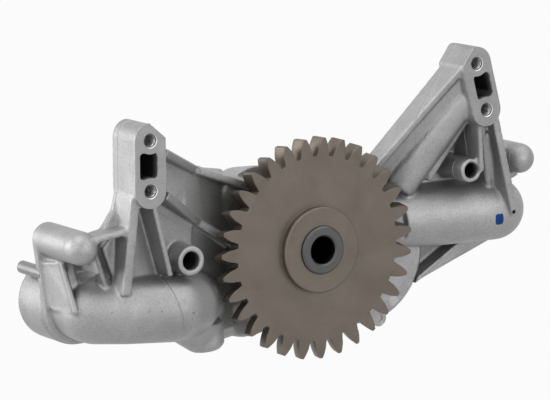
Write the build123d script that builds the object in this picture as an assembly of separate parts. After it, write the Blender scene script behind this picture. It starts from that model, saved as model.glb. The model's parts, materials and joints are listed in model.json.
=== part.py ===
from build123d import *
import math
import os

# Engine oil pump, in millimetres. The drive shaft turns about the Y axis, which points from the
# gear to the back of the pump. X is to the right and Z is up. The two mounting feet reach up and
# forward, and their machined faces lie in the plane Y = 0.

# Drive gear, a helical spur gear pressed on the shaft
gear_teeth = 31
gear_module = 4.703
gear_addendum = 1.19
gear_dedendum = 1.57
gear_first_tooth_deg = -95.4
gear_front_y = 22.0
gear_width = 10.5
gear_twist_deg = 1.45
hub_r = 30.5
hub_proud = 5.3
hub_edge = 0.8
rear_hub_r = 24.0
thrust_thick = 2.0
tooth_pressure_deg = 20.0
root_floor = 0.6

# Drive shaft, hollow in front
shaft_seat_r = 17.0
shaft_proud = 2.4
journal_r = 15.0
shaft_bore_r = 10.0
shaft_bore_depth = 38.0
shaft_edge = 1.2

# Pump gears inside, one on each shaft
rotor_teeth = 11
rotor_module = 5.0
rotor_addendum = 0.86
rotor_dedendum = 1.24
rotor_line_deg = -20.3
rotor_width = 30.0
rotor_backlash = 0.3
driven_shaft_r = 11.0
key_width = 8.0
key_height = 7.0
key_length = 22.0

# Clearances
running_gap = 0.04
end_gap = 0.05
tip_gap = 0.08
bolt_gap = 0.25
washer_gap = 0.1
casting_gap = 1.0

# Front cover and its fixings
cover_front_y = 44.0
cover_thick = 12.0
cover_r = 50.5
cover_edge = 3.5
cover_face_r = 39.5
cover_face_proud = 0.8
joint_flange_thick = 7.0
lug_r = 6.2
lug_depth = 22.0
bolt_r = 3.0
bolt_end_in = 0.6
bolt_head_across = 10.0
bolt_head_height = 4.5
bolt_inset = 1.5
drive_bolt_degs = (68.0, 118.0, 168.0, 235.0)
driven_bolt_degs = (-83.0, 8.0, 62.0)
dowel_r = 3.0
dowel_length = 14.0
dowel_inset = 10.0
dowel_degs = (95.0, 265.0)

# Bushes
bush_wall = 3.0

# Body behind the cover
chamber_wall = 8.0
body_back_y = 100.0
body_edge = 6.0
sump_centre = (-42.0, -32.0)
sump_r = 28.0
dome_centre = (-28.5, 32.0)
dome_front_r = 30.0
dome_back_r = 24.0
plug_thick = 2.5

# Feet
foot_x = 136.0
foot_z = 91.5
foot_lean_deg = 7.1
foot_hole_spacing = 34.5
foot_half_width = 12.0
foot_depth = 32.0
foot_corner = ((-0.6, 29.2), (12.1, 18.4))
foot_hole_r = 4.6
foot_hole_depth = 28.0
foot_hole_edge = 0.5
window_width = 13.5
window_height = 18.0
window_ring_r = 9.3
window_corner_r = 2.5
window_out = 1.4
window_depth = 27.0

# Legs between the feet and the body
rib_front_y = 3.0
leg_back_y = 29.0
web_top_y = 28.0
web_low_y = 43.0
web_inner_y = 50.0
web_thick = 6.0
rib_thick = 6.0
thin_rib_thick = 4.0
behind_gear_y = 38.0
body_rib_back_y = 62.0
wall_mid_back_y = 43.0

# Suction elbow on the left, which opens to the back
duct_r = 23.5
duct_y = 29.0
duct_bend_r = 27.0
collar_x = -169.0
collar_z = -8.5
duct_turn_x = -110.0
duct_turn_z = -17.5
duct_in_x = -74.0
duct_in_z = -27.0
low_bump = (-87.0, 44.0, -37.0)
low_bump_r = 14.0
low_bump_length = 19.0
flange_front_y = 64.0
flange_thick = 6.0
flange_r = 27.0
collar_r = 28.5
collar_end_y = 102.0
suction_bore_r = 22.5
suction_bore_floor_y = 60.0
suction_passage_r = 16.0
passage_r = 12.0
seal_section = 3.2
seal_room = 0.1
suction_seal_in = 8.0

# Relief valve in the boss above the suction elbow
valve_x = -185.6
valve_z = 42.4
valve_boss_r = 11.6
valve_dome_y = 20.0
valve_bore_r = 7.0
valve_floor_y = 16.0
plunger_length = 20.0
plunger_wall = 2.0
plunger_floor = 4.0
plunger_stand_off = 2.0
spring_wire = 1.4
spring_turns = 6
spring_steps = 12
spring_gap = 0.3
spring_end_gap = 0.2
plug_thread_r = 8.0
plug_thread_length = 10.0
plug_socket_across = 8.0
plug_socket_depth = 6.0

# Locating pin beside the suction collar
pin_x = -192.0
pin_z = 19.0
pin_r = 4.5
pin_seat = 4.0
pin_proud = 30.0
pin_edge = 1.2

# Delivery duct on the right
outlet_start = (58.0, 62.0, 2.0)
outlet_mid = (90.0, 53.0, -1.5)
outlet_x = 158.0
outlet_y = 36.0
outlet_z = -7.0
outlet_r = 23.0
joint_step = 0.05
outlet_back_y = 84.0
outlet_bore_r = 15.0
outlet_bore_floor_y = 44.0
outlet_passage_r = 7.5
outlet_turn = (118.0, 60.0, -5.0)
outlet_seal_r = 19.0
outlet_face_bolt_r = 4.0
outlet_bolt_spacing = 60.0
outlet_bolt_depth = 16.0
outlet_ear_r = 9.0
outlet_ear_thick = 12.0
side_boss_x = 179.0
side_boss_z = 27.0
side_boss_y = 26.0
side_boss_r = 11.0
side_boss_back_y = 60.0

# Oil gallery cast on the right leg
gallery_top = (127.5, 14.5, 80.0)
gallery_low = (88.0, 44.0, 26.0)
gallery_r = 9.8
gallery_low_r = 12.0

# Plain bosses on the legs: x, z, front, back, outer radius, bore radius
left_boss = (-107.0, 17.0, 12.0, 44.0, 10.5, 6.5)
right_boss = (128.0, 30.5, 12.0, 52.0, 8.8, 5.6)
boss_bore_depth = 22.0

# Clearance kept round the gear in the casting
gear_room = 3.5

# Places that follow from the sizes above
gear_pitch_r = gear_teeth * gear_module / 2
gear_tip_r = gear_pitch_r + gear_addendum * gear_module
gear_root_r = gear_pitch_r - gear_dedendum * gear_module
gear_back_y = gear_front_y + gear_width
hub_front_y = gear_front_y - hub_proud
shaft_front_y = hub_front_y - shaft_proud
cover_back_y = cover_front_y + cover_thick
chamber_back_y = cover_back_y + rotor_width + 2 * end_gap
rotor_pitch_r = rotor_teeth * rotor_module / 2
rotor_tip_r = rotor_pitch_r + rotor_addendum * rotor_module
rotor_root_r = rotor_pitch_r - rotor_dedendum * rotor_module
rotor_distance = 2 * rotor_pitch_r
driven_x = rotor_distance * math.cos(math.radians(rotor_line_deg))
driven_z = rotor_distance * math.sin(math.radians(rotor_line_deg))
bolt_circle_r = cover_r - bolt_inset
dowel_circle_r = cover_r - dowel_inset
duct_in_y = body_back_y - duct_r
suction_seal_y = collar_end_y - suction_seal_in
flange_back_y = flange_front_y + flange_thick
plug_front_y = flange_back_y - plug_thread_length
body_r = rotor_tip_r + tip_gap + chamber_wall
shaft_end_y = body_back_y - plug_thick - shaft_edge

LOW = (Align.CENTER, Align.CENTER, Align.MIN)


def rod(start, end, r, end_r=None):
    """A round bar, or a cone, from one point to another."""
    a = Vector(*start)
    b = Vector(*end)
    plane = Plane(origin=a, z_dir=b - a)
    length = (b - a).length
    if end_r is None:
        return plane * Cylinder(r, length, align=LOW)
    return plane * Cone(r, end_r, length, align=LOW)


def along_y(x, z, y0, y1, r):
    """A round bar parallel to the drive axis."""
    return rod((x, y0, z), (x, y1, z), r)


def ball(x, y, z, r):
    return Pos(x, y, z) * Sphere(r)


def slab(face, y0, y1):
    """A flat outline, drawn as seen from the front, made solid between two depths."""
    return Pos(0, y0, 0) * extrude(Plane.XZ * face, amount=y0 - y1)


def rib(a, b, thick, front_a, front_b, back_a, back_b):
    """A straight rib seen edge-on from the front, between two points (x, z)."""
    points = [(a[0], front_a, a[1]), (b[0], front_b, b[1]), (b[0], back_b, b[1]), (a[0], back_a, a[1])]
    face = Face(Wire.make_polygon([Vector(*p) for p in points]))
    return extrude(face, amount=thick / 2, both=True)


def panel(corners, depths, thick):
    """A web between three or four corners (x, z), whose depth may differ at each corner."""
    points = [Vector(c[0], d, c[1]) for c, d in zip(corners, depths)]
    solids = []
    for i in range(1, len(points) - 1):
        face = Face(Wire.make_polygon([points[0], points[i], points[i + 1]]))
        solids.append(extrude(face, amount=thick, dir=(0, 1, 0)))
    return solids


def wedge(corners, z0, z1, lean):
    """An upright rib drawn from above as corners (x, y), from one height down to another."""
    face = Face(Wire.make_polygon([Vector(x, y, z0) for x, y in corners]))
    return extrude(face, amount=z0 - z1, dir=(lean / (z0 - z1), 0, -1))


def polar(x, z, r, deg):
    a = math.radians(deg)
    return x + r * math.cos(a), z + r * math.sin(a)


def hull_of(circles):
    """The outline round a set of circles (x, z, r)."""
    sketch = Sketch() + [Pos(x, z) * Circle(r) for x, z, r in circles]
    return make_hull(sketch.edges())


def involute(base_r, r, start_deg, side):
    """A point at radius r on the involute that leaves the base circle at start_deg."""
    lean = math.acos(min(1.0, base_r / r))
    a = math.radians(start_deg) + side * (math.tan(lean) - lean)
    return r * math.cos(a), r * math.sin(a)


def gear_outline(teeth, pitch_r, tip_r, root_r, backlash, first_deg, steps, twist=0.0):
    """A gear's outline: involute flanks in short steps, and a tooth centred on first_deg."""
    base_r = pitch_r * math.cos(math.radians(tooth_pressure_deg))
    pressure = math.radians(tooth_pressure_deg)
    half_thick = math.pi / (2 * teeth) - backlash / (4 * pitch_r) + math.tan(pressure) - pressure
    half_deg = math.degrees(half_thick)
    gap_half_deg = 180.0 / teeth - half_deg
    flank = [base_r + (tip_r - base_r) * i / steps for i in range(steps + 1)]
    points = []
    for i in range(teeth):
        centre = first_deg + twist + i * 360.0 / teeth
        gap = centre + 180.0 / teeth
        points += [involute(base_r, r, centre - half_deg, 1) for r in flank]
        points += [involute(base_r, r, centre + half_deg, -1) for r in reversed(flank)]
        points.append(polar(0, 0, root_r, gap - root_floor * gap_half_deg))
        points.append(polar(0, 0, root_r, gap + root_floor * gap_half_deg))
    return make_face(Polyline(*points, close=True))


def foot_outline(side):
    """A long round pad, its upper corner on the engine's side cut off straight."""
    shape = SlotCenterToCenter(foot_hole_spacing, 2 * foot_half_width, rotation=90)
    (x0, z0), (x1, z1) = foot_corner
    far = 2 * foot_half_width
    corner = Polyline((-side * x0, z0), (-side * x1, z1), (-side * far, far + z1), close=True)
    shape -= make_face(corner)
    return Pos(side * foot_x, foot_z) * Rot(0, 0, side * foot_lean_deg) * shape


def foot_holes(side):
    """The two threaded holes' centres (x, z), the upper one first."""
    lean = math.radians(foot_lean_deg)
    dx = foot_hole_spacing / 2 * math.sin(lean)
    dz = foot_hole_spacing / 2 * math.cos(lean)
    x = side * foot_x
    return [(x - side * dx, foot_z + dz), (x + side * dx, foot_z - dz)]


def foot_window(side):
    """The port between the holes, its ends bowed in round the two hole bosses."""
    shape = RectangleRounded(window_width, window_height, window_corner_r)
    for end in (-1, 1):
        shape -= Pos(-side * window_out, end * foot_hole_spacing / 2) * Circle(window_ring_r)
    shape = Pos(side * window_out, 0) * shape
    return Pos(side * foot_x, foot_z) * Rot(0, 0, side * foot_lean_deg) * shape


def foot(side):
    return slab(foot_outline(side), 0, foot_depth)


def foot_cuts(side):
    cuts = [slab(foot_window(side), -1, window_depth)]
    for x, z in foot_holes(side):
        cuts.append(along_y(x, z, -1, foot_hole_depth, foot_hole_r))
        cuts.append(rod((x, 0, z), (x, foot_hole_edge, z), foot_hole_r + foot_hole_edge, foot_hole_r))
    return cuts


def both_axes(r):
    """A circle of one radius round each of the two shafts."""
    return [(0, 0, r), (driven_x, driven_z, r)]


def bolt_places():
    drive = [polar(0, 0, bolt_circle_r, d) for d in drive_bolt_degs]
    driven = [polar(driven_x, driven_z, bolt_circle_r, d) for d in driven_bolt_degs]
    return drive + driven


def dowel_places():
    first = polar(0, 0, dowel_circle_r, dowel_degs[0])
    second = polar(driven_x, driven_z, dowel_circle_r, dowel_degs[1])
    return [first, second]


def body():
    """The pump body behind the cover, with its bolt lugs, sump side and upper dome."""
    flange = slab(hull_of(both_axes(cover_r)), cover_back_y, cover_back_y + joint_flange_thick)
    core = slab(hull_of(both_axes(body_r)), cover_back_y, body_back_y)
    core = chamfer(core.faces().sort_by(Axis.Y)[-1].edges(), body_edge)
    sump = slab(hull_of([(*sump_centre, sump_r), *both_axes(body_r)]), cover_back_y + 2,
                body_back_y - body_edge)
    sump = chamfer(sump.faces().sort_by(Axis.Y)[-1].edges(), body_edge)
    dome_x, dome_z = dome_centre
    cap_y = body_back_y - dome_back_r / 2
    dome = rod((dome_x, cover_back_y - 4, dome_z), (dome_x, cap_y, dome_z), dome_front_r, dome_back_r)
    dome = chamfer(dome.faces().sort_by(Axis.Y)[-1].edges(), body_edge)
    lugs = [along_y(x, z, cover_back_y, cover_back_y + lug_depth, lug_r) for x, z in bolt_places()]
    return [core, flange, sump, dome, *lugs]


def pipe(points, r):
    """Round bars from point to point, with a ball that rounds each corner between them."""
    bars = [rod(a, b, r) for a, b in zip(points, points[1:])]
    return bars + [ball(*point, r - joint_step) for point in points[1:-1]]


def duct_points():
    """The suction duct's middle line: in from the back, to the right, and behind the gear."""
    corner_cut = 0.59 * duct_bend_r
    return [
        (collar_x, flange_back_y, collar_z),
        (collar_x, duct_y + corner_cut, collar_z),
        (collar_x + corner_cut, duct_y, collar_z - 1),
        (duct_turn_x - 8, duct_y, duct_turn_z + 1),
        (duct_turn_x + 8, duct_y + 10, duct_turn_z - 2),
        (duct_in_x, duct_in_y, duct_in_z),
        (sump_centre[0] + 10, duct_in_y, sump_centre[1]),
    ]


def elbow():
    """The duct itself, with the drain boss under its bend."""
    x, y, z = low_bump
    boss_below = rod((x, y, z), (x, y, z - low_bump_length), low_bump_r)
    boss_below = chamfer(boss_below.faces().sort_by(Axis.Z)[0].edges(), low_bump_r / 4)
    return pipe(duct_points(), duct_r) + [boss_below]


def suction_end():
    """The flange, the round collar behind it and the relief valve's boss."""
    outline = hull_of([(valve_x, valve_z, valve_boss_r), (collar_x, collar_z, flange_r)])
    parts = [
        slab(outline, flange_front_y, flange_back_y),
        along_y(collar_x, collar_z, flange_back_y, collar_end_y, collar_r),
        along_y(valve_x, valve_z, valve_dome_y, flange_back_y, valve_boss_r),
        ball(valve_x, valve_dome_y, valve_z, valve_boss_r),
        wedge([(valve_x - 2, 43), (valve_x + 5, 43), (valve_x + 8, flange_front_y + 1),
               (valve_x - 7.5, flange_front_y + 1)], valve_z - 8, valve_z - 42, 3),
        rib((valve_x - 3, valve_z - 16), (valve_x - 5, valve_z - 31), 3, 52, 62, 65, 65),
    ]
    return parts


def left_leg():
    """Webs and ribs from the left foot to the elbow and the body."""
    dome_side_y = body_back_y - 18
    parts = []
    parts += panel([(-122, 104), (-76, 71), (-77, 34), (-130, 66)], [22, 42, 42, 22], web_thick)
    parts += panel([(-78, 73), (-54, 50), (-54, 20), (-79, 32)],
                   [42, dome_side_y, dome_side_y, 42], web_thick)
    parts += panel([(-142, 66), (-128, 68), (-88, 36), (-96, -2), (-152, 2)], [23, 23, 38, 34, 23],
                   web_thick)
    parts += panel([(-88, 40), (-44, 8), (-50, -14), (-96, -2)], [40, 56, 58, 42], web_thick)
    parts += panel([(-140, 64), (-152, 38), (-168, 38), (-160, 6), (-150, 4)], [23] * 5, web_thick)
    parts += panel([(-145, 74), (-151.5, 73.5), (-158.5, 55), (-167, 50), (-150, 44)], [23] * 5,
                   web_thick)
    parts += [
        rib((-121, 97), (-83, 73.5), rib_thick, rib_front_y, 34, leg_back_y, 46),
        rib((-84, 74), (-26, 45), rib_thick, 35, 42, 46, body_rib_back_y),
        rib((-124, 68), (-84, 36), rib_thick, rib_front_y, 36, leg_back_y, 46),
        rib((-86, 37.5), (-44, 4), rib_thick, behind_gear_y, 42, 46, body_rib_back_y),
        rib((-148, 72), (-161, 5), 7, rib_front_y, 9, leg_back_y, leg_back_y),
        rib((-136, 72), (-124, 10), thin_rib_thick, rib_front_y, 12, leg_back_y, leg_back_y),
        rib((-144, 64), (-156, 38), 5, 18, 20, leg_back_y, leg_back_y),
        rib((-153, 49), (valve_x + 4, valve_z + 5), 5, 8, 12, leg_back_y, leg_back_y),
        rib((valve_x + 4.5, valve_z - 4), (valve_x + 8, valve_z - 19), 4, 14, 14, leg_back_y, 36),
        rib((valve_x + 10, valve_z - 4), (-167, 10), 4, 20, 24, leg_back_y, leg_back_y + 6),
    ]
    return parts


def right_leg():
    """Webs, the flat outer wall, the gallery tube and ribs from the right foot to the duct."""
    wall_top = (123.0, 105.0)
    wall_mid = (98.0, 76.0)
    wall_low = (60.0, 34.0)
    parts = []
    parts += panel([(122, 100), (97, 72), (116, 44), (146, 62)], [25, 40, 44, web_top_y], web_thick)
    parts += panel([(97, 72), (58, 30), (84, 6), (116, 44)], [40, 56, 56, 44], web_thick)
    parts += panel([(116, 46), (146, 66), (156, 0), (100, 6)],
                   [44, web_top_y, web_low_y, web_inner_y], web_thick)
    parts += panel([(146, 66), (166, 44), (180, 30), (184, 12), (156, 0)],
                   [web_top_y, 32, 34, 36, web_low_y], web_thick)
    parts += panel([(122, 103.5), (98, 75.5), (106, 60), (126, 84)], [7, 25, 24, 9], 14)
    parts += panel([(98, 75.5), (60, 34), (80, 30), (106, 60)], [25, 47, 44, 24], 14)
    parts += [
        rib(wall_top, wall_mid, 5, rib_front_y, 21, leg_back_y, wall_mid_back_y),
        rib(wall_mid, wall_low, 5, 21, 43, wall_mid_back_y, body_rib_back_y),
        rib((131, 69), (105, 25), thin_rib_thick, 12, 33, 32, 54),
        rib((134, 66), (136, 28), thin_rib_thick, rib_front_y, 10, 32, web_low_y),
        rib((141, 66), (149.5, 15), thin_rib_thick, 10, 24, 32, web_low_y + 4),
        rib((147, 70), (160, -9), rib_thick, rib_front_y, 9, 32, web_low_y),
        rod(gallery_low, gallery_top, gallery_low_r, gallery_r),
        ball(*gallery_top, gallery_r - joint_step),
        ball(*gallery_low, gallery_low_r - joint_step),
    ]
    return parts


def outlet():
    """The delivery duct from the body to its port, which opens to the back."""
    end = (outlet_x, outlet_y, outlet_z)
    ears = hull_of([(outlet_x - outlet_bolt_spacing / 2, outlet_z, outlet_ear_r),
                    (outlet_x + outlet_bolt_spacing / 2, outlet_z, outlet_ear_r),
                    (outlet_x, outlet_z, outlet_r)])
    port = (outlet_x, outlet_back_y, outlet_z)
    parts = pipe([outlet_start, outlet_mid, end, port], outlet_r) + [
        slab(ears, outlet_back_y - outlet_ear_thick, outlet_back_y),
        along_y(side_boss_x, side_boss_z, side_boss_y, side_boss_back_y, side_boss_r),
        ball(side_boss_x, side_boss_y, side_boss_z, side_boss_r),
        rib((side_boss_x, side_boss_z), (outlet_x + 8, outlet_z + 8), 8, side_boss_y + 4, 34, 56, 56),
    ]
    web = panel([(84, -20), (105, -53), (170, -37), (166, -20)], [60, 60, 60, 60], web_thick)
    edge = rib((90, -50), (136, -30), 3.5, 46, 48, 64, 64)
    return parts + web + [edge]


def cover_room():
    """The space that the front cover and its lugs take out of the casting."""
    front = cover_front_y - casting_gap
    space = [slab(hull_of(both_axes(cover_r + casting_gap)), front, cover_back_y)]
    for x, z in bolt_places():
        space.append(along_y(x, z, front, cover_back_y, lug_r + casting_gap))
    return space


def housing_cuts():
    cuts = cover_room() + [
        along_y(0, 0, 0, gear_back_y + gear_room, gear_tip_r + gear_room),
        along_y(0, 0, cover_back_y - 1, chamber_back_y, rotor_tip_r + tip_gap),
        along_y(driven_x, driven_z, cover_back_y - 1, chamber_back_y, rotor_tip_r + tip_gap),
        along_y(0, 0, chamber_back_y - 1, body_back_y + 1, journal_r + running_gap + bush_wall),
        along_y(driven_x, driven_z, chamber_back_y - 1, body_back_y + 1,
                driven_shaft_r + running_gap + bush_wall),
        along_y(collar_x, collar_z, suction_bore_floor_y, collar_end_y + 1, suction_bore_r),
        along_y(outlet_x, outlet_z, outlet_bore_floor_y, outlet_back_y + 1, outlet_bore_r),
        along_y(valve_x, valve_z, valve_floor_y, flange_back_y + 1, valve_bore_r),
        along_y(valve_x, valve_z, plug_front_y, flange_back_y + 1, plug_thread_r),
        along_y(pin_x, pin_z, flange_back_y - pin_seat, flange_back_y + 1, pin_r),
    ]
    for x, z in bolt_places():
        cuts.append(along_y(x, z, cover_back_y - 1, cover_back_y + lug_depth + 1, bolt_r + bolt_gap))
        cuts.append(along_y(x, z, cover_back_y + lug_depth, body_back_y + 1, lug_r + 1))
    for x, z in dowel_places():
        cuts.append(along_y(x, z, cover_back_y - 1, cover_back_y + dowel_length / 2, dowel_r))
    for x, z, front, back, r, bore in (left_boss, right_boss):
        cuts.append(along_y(x, z, front - 1, front + boss_bore_depth, bore))
    for side in (-1, 1):
        x = outlet_x + side * outlet_bolt_spacing / 2
        cuts.append(along_y(x, outlet_z, outlet_back_y - outlet_bolt_depth, outlet_back_y + 1,
                            outlet_face_bolt_r))
    return cuts + oil_passages() + seal_grooves()


def oil_passages():
    """The oil's way in from the elbow, and out to the delivery duct."""
    middle_y = (cover_back_y + chamber_back_y) / 2
    mesh_x = driven_x / 2
    mesh_z = driven_z / 2
    inner = (duct_in_x, duct_in_y, duct_in_z)
    turn = (duct_turn_x, duct_y + 2, duct_turn_z)
    down = (collar_x, duct_y + 2, collar_z)
    return [
        rod((collar_x, suction_bore_floor_y + 1, collar_z), down, suction_passage_r),
        rod(down, turn, passage_r),
        rod(turn, inner, passage_r - 0.5),
        rod(inner, (mesh_x - 8, middle_y, mesh_z - 26), passage_r - 1.0),
        rod((mesh_x + 6, middle_y, mesh_z + 22), outlet_turn, outlet_passage_r),
        rod(outlet_turn, (outlet_x, outlet_bore_floor_y + 8, outlet_z), outlet_passage_r - 0.5),
    ]


def seal_grooves():
    """A groove inside the suction bore, and one in the delivery port's face."""
    return [
        ring(collar_x, collar_z, suction_seal_y - seal_room, seal_section + 2 * seal_room,
             suction_bore_r - 1, suction_bore_r + seal_section + seal_room),
        ring(outlet_x, outlet_z, outlet_back_y - seal_section, seal_section + 1,
             outlet_seal_r - seal_room, outlet_seal_r + seal_section + seal_room),
    ]


def ring(x, z, y0, length, inner_r, outer_r):
    """A plain ring round an axis parallel to the drive axis."""
    return along_y(x, z, y0, y0 + length, outer_r) - along_y(x, z, y0 - 1, y0 + length + 1, inner_r)


def pump_housing():
    """The casting. Only the delivery duct passes in front of the cover's edge."""
    solids = body() + elbow() + suction_end() + left_leg() + right_leg()
    solids += [foot(-1), foot(1), along_y(*left_boss[:5]), along_y(*right_boss[:5])]
    in_front = slab(hull_of(both_axes(cover_r + casting_gap)), gear_back_y, cover_front_y)
    casting = solids[0].fuse(*solids[1:]).cut(in_front).fuse(*outlet())
    return casting.cut(*housing_cuts(), *foot_cuts(-1), *foot_cuts(1))


def front_cover():
    """The plate between the drive gear and the pump gears, with a raised machined face."""
    rim_y = cover_front_y + cover_face_proud
    plate = slab(hull_of(both_axes(cover_r)), rim_y, cover_back_y)
    plate = chamfer(plate.faces().sort_by(Axis.Y)[0].edges(), cover_edge)
    face = slab(hull_of(both_axes(cover_face_r)), cover_front_y, cover_back_y)
    lugs = [along_y(x, z, rim_y, cover_back_y, lug_r) for x, z in bolt_places()]
    plate = plate.fuse(face, *lugs)
    holes = [
        along_y(0, 0, cover_front_y - 1, cover_back_y + 1, journal_r + running_gap + bush_wall),
        along_y(driven_x, driven_z, cover_front_y + 2, cover_back_y + 1,
                driven_shaft_r + running_gap + bush_wall),
    ]
    for x, z in bolt_places():
        holes.append(along_y(x, z, cover_front_y - 1, cover_back_y + 1, bolt_r))
    for x, z in dowel_places():
        holes.append(along_y(x, z, cover_back_y - dowel_length / 2, cover_back_y + 1, dowel_r))
    return plate.cut(*holes)


def bush(x, z, shaft_r, y0, length):
    inner_r = shaft_r + running_gap
    return ring(x, z, y0, length, inner_r, inner_r + bush_wall)


def hexagon(x, z, y0, height, across):
    """A six-sided head whose flats lie round an axis parallel to the drive axis."""
    outline = Pos(x, z) * RegularPolygon(across / 2, 6, major_radius=False)
    return slab(outline, y0, y0 + height)


def cover_bolts():
    """Bolts put in from the back, through the housing's lugs and the cover."""
    seat_y = cover_back_y + lug_depth
    end_y = cover_front_y + cover_face_proud + bolt_end_in
    bolts = []
    for x, z in bolt_places():
        head = hexagon(x, z, seat_y, bolt_head_height, bolt_head_across)
        bolts.append(head.fuse(along_y(x, z, end_y, seat_y, bolt_r)))
    return Compound(children=bolts)


def cover_dowels():
    y0 = cover_back_y - dowel_length / 2
    pins = [along_y(x, z, y0, y0 + dowel_length, dowel_r) for x, z in dowel_places()]
    return Compound(children=pins)


def drive_gear():
    sizes = (gear_teeth, gear_pitch_r, gear_tip_r, gear_root_r, 0.0, gear_first_tooth_deg, 4)
    front = Pos(0, gear_front_y, 0) * (Plane.XZ * gear_outline(*sizes))
    back = Pos(0, gear_back_y, 0) * (Plane.XZ * gear_outline(*sizes, twist=gear_twist_deg))
    rim = loft([front, back], ruled=True)
    hub = along_y(0, 0, hub_front_y, gear_front_y + 1, hub_r)
    hub = chamfer(hub.faces().sort_by(Axis.Y)[0].edges(), hub_edge)
    rear_y = cover_front_y - washer_gap - thrust_thick
    rear = along_y(0, 0, gear_back_y - 1, rear_y, rear_hub_r)
    return rim.fuse(hub, rear).cut(along_y(0, 0, hub_front_y - 1, rear_y + 1, shaft_seat_r))


def thrust_washer():
    y0 = cover_front_y - washer_gap - thrust_thick
    return ring(0, 0, y0, thrust_thick, journal_r + washer_gap, rear_hub_r)


def drive_shaft():
    """The hollow shaft, with the keyway for its pump gear."""
    step_y = cover_front_y - washer_gap - thrust_thick
    seat = along_y(0, 0, shaft_front_y, step_y, shaft_seat_r)
    seat = chamfer(seat.faces().sort_by(Axis.Y)[0].edges(), shaft_edge)
    journal = along_y(0, 0, step_y, shaft_end_y, journal_r)
    shaft = seat.fuse(journal)
    bore = along_y(0, 0, shaft_front_y - 1, shaft_front_y + shaft_bore_depth, shaft_bore_r)
    mouth = rod((0, shaft_front_y, 0), (0, shaft_front_y + shaft_edge, 0), shaft_bore_r + shaft_edge,
                shaft_bore_r)
    return shaft.cut(bore, mouth, key_block())


def key_block():
    middle_y = (cover_back_y + chamber_back_y) / 2
    return Pos(0, middle_y, journal_r) * Box(key_width, key_length, key_height)


def drive_rotor():
    y0 = cover_back_y + end_gap
    outline = gear_outline(rotor_teeth, rotor_pitch_r, rotor_tip_r, rotor_root_r, rotor_backlash,
                           rotor_line_deg, 3)
    gear = slab(outline, y0, y0 + rotor_width)
    return gear.cut(along_y(0, 0, y0 - 1, y0 + rotor_width + 1, journal_r), key_slot())


def key_slot():
    middle_y = (cover_back_y + chamber_back_y) / 2
    return Pos(0, middle_y, journal_r) * Box(key_width, rotor_width + 4, key_height)


def driven_rotor():
    y0 = cover_back_y + end_gap
    half_step = 180.0 / rotor_teeth
    outline = gear_outline(rotor_teeth, rotor_pitch_r, rotor_tip_r, rotor_root_r, rotor_backlash,
                           rotor_line_deg + 180.0 + half_step, 3)
    gear = Pos(driven_x, 0, driven_z) * slab(outline, y0, y0 + rotor_width)
    return gear.cut(along_y(driven_x, driven_z, y0 - 1, y0 + rotor_width + 1, driven_shaft_r))


def driven_shaft():
    return along_y(driven_x, driven_z, cover_front_y + 2.5, shaft_end_y, driven_shaft_r)


def rear_bore_plugs():
    """Two pressed discs that close the bearing bores at the back."""
    y0 = body_back_y - plug_thick
    plugs = []
    for x, z, r in ((0, 0, journal_r), (driven_x, driven_z, driven_shaft_r)):
        plugs.append(along_y(x, z, y0, body_back_y, r + running_gap + bush_wall))
    return Compound(children=plugs)


def relief_plunger():
    """A cup that shuts the valve bore, its open end towards the spring."""
    y0 = valve_floor_y + plunger_stand_off
    cup = along_y(valve_x, valve_z, y0, y0 + plunger_length, valve_bore_r - running_gap)
    inside = along_y(valve_x, valve_z, y0 + plunger_floor, y0 + plunger_length + 1,
                     valve_bore_r - plunger_wall)
    return cup - inside


def relief_spring():
    """A coil of straight bits of wire, between the plunger's floor and the plug."""
    y0 = valve_floor_y + plunger_stand_off + plunger_floor + spring_wire / 2
    pitch = (plug_front_y - spring_end_gap - spring_wire / 2 - y0) / spring_turns
    coil_r = valve_bore_r - plunger_wall - spring_gap - spring_wire / 2
    points = []
    for i in range(spring_turns * spring_steps + 1):
        turn = i / spring_steps
        x, z = polar(valve_x, valve_z, coil_r, 360 * turn)
        points.append((x, y0 + pitch * turn, z))
    path = Polyline(*points)
    section = Plane(origin=path @ 0, z_dir=path % 0) * Rectangle(spring_wire, spring_wire)
    return sweep(section, path=path, transition=Transition.RIGHT)


def relief_plug():
    """A flush threaded plug with a six-sided socket, which closes the valve bore."""
    thread = along_y(valve_x, valve_z, plug_front_y, flange_back_y, plug_thread_r)
    socket = hexagon(valve_x, valve_z, flange_back_y - plug_socket_depth, plug_socket_depth + 1,
                     plug_socket_across)
    return thread - socket


def locating_pin():
    pin = along_y(pin_x, pin_z, flange_back_y - pin_seat, flange_back_y + pin_proud, pin_r)
    return chamfer(pin.faces().sort_by(Axis.Y)[-1].edges(), pin_edge)


def save(shape, name):
    shape.label = name
    export_step(shape, "parts/" + name + ".step")


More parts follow.
